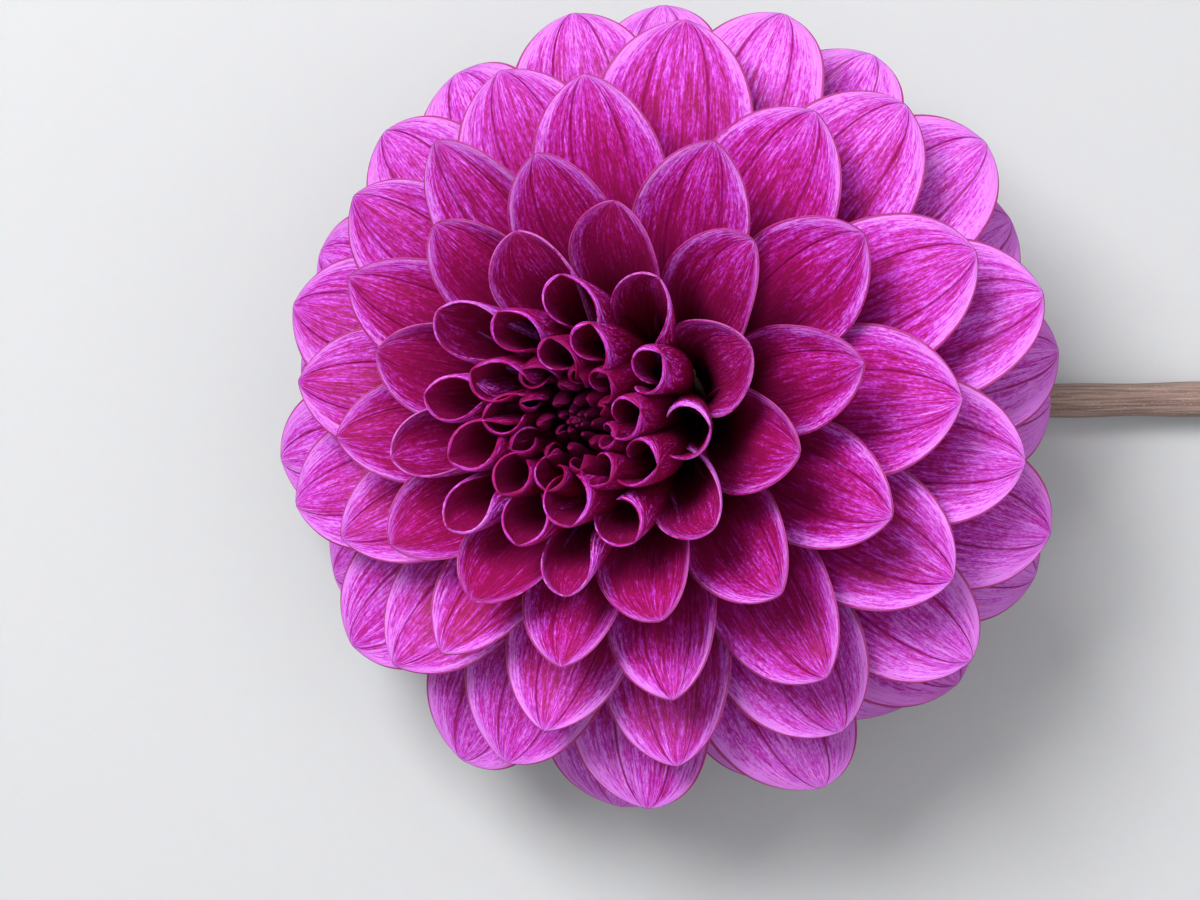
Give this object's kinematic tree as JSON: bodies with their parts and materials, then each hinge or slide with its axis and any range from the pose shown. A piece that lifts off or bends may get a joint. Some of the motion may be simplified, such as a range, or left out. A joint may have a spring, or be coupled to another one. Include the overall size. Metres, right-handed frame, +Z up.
{
  "type": "dahlia flower",
  "caption": "Double dahlia bloom of spiralling cupped magenta petals round a dark rolled centre, on a cut brown stem, lying on its back petals and the stem's end.",
  "frame": {"origin": "centre of the bounding box's base, on the surface that the flower lies on", "axes": "+Z up from that surface; +X along the stem, from the head towards the stem's cut end"},
  "size_m": [0.2045, 0.1174, 0.0862],
  "materials": {
    "floret_orchid": "satin",
    "floret_magenta": "satin",
    "floret_crimson": "satin",
    "bract_green": "satin",
    "bract_pale": "satin",
    "receptacle_pale": "matte",
    "stem_brown": "satin"
  },
  "bodies": {
    "root": {"centre_florets": "floret_crimson", "floret_whorl_1": "floret_magenta", "floret_whorl_2": "floret_magenta", "floret_whorl_3": "floret_magenta", "inner_bract_1": "bract_pale", "inner_bract_2": "bract_pale", "inner_bract_3": "bract_pale", "inner_bract_4": "bract_pale", "inner_bract_5": "bract_pale", "inner_bract_6": "bract_pale", "inner_bract_7": "bract_pale", "inner_bract_8": "bract_pale", "outer_bract_1": "bract_green", "outer_bract_2": "bract_green", "outer_bract_3": "bract_green", "outer_bract_4": "bract_green", "outer_bract_5": "bract_green", "ray_floret_102": "floret_orchid", "ray_floret_103": "floret_orchid", "ray_floret_104": "floret_orchid", "ray_floret_105": "floret_orchid", "ray_floret_106": "floret_orchid", "ray_floret_107": "floret_orchid", "ray_floret_108": "floret_orchid", "ray_floret_109": "floret_orchid", "ray_floret_110": "floret_orchid", "ray_floret_111": "floret_orchid", "ray_floret_112": "floret_orchid", "ray_floret_113": "floret_orchid", "ray_floret_114": "floret_orchid", "ray_floret_115": "floret_orchid", "ray_floret_116": "floret_orchid", "ray_floret_117": "floret_orchid", "ray_floret_118": "floret_orchid", "ray_floret_119": "floret_orchid", "ray_floret_120": "floret_orchid", "ray_floret_121": "floret_orchid", "ray_floret_122": "floret_orchid", "ray_floret_123": "floret_orchid", "ray_floret_124": "floret_orchid", "ray_floret_125": "floret_orchid", "ray_floret_126": "floret_orchid", "ray_floret_127": "floret_orchid", "ray_floret_128": "floret_orchid", "ray_floret_129": "floret_orchid", "ray_floret_130": "floret_orchid", "ray_floret_131": "floret_orchid", "ray_floret_132": "floret_orchid", "ray_floret_133": "floret_orchid", "ray_floret_134": "floret_orchid", "ray_floret_135": "floret_orchid", "ray_floret_136": "floret_orchid", "ray_floret_137": "floret_orchid", "ray_floret_138": "floret_orchid", "ray_floret_139": "floret_orchid", "ray_floret_140": "floret_orchid", "receptacle": "receptacle_pale", "stem": "stem_brown"}
  },
  "joints": []
}
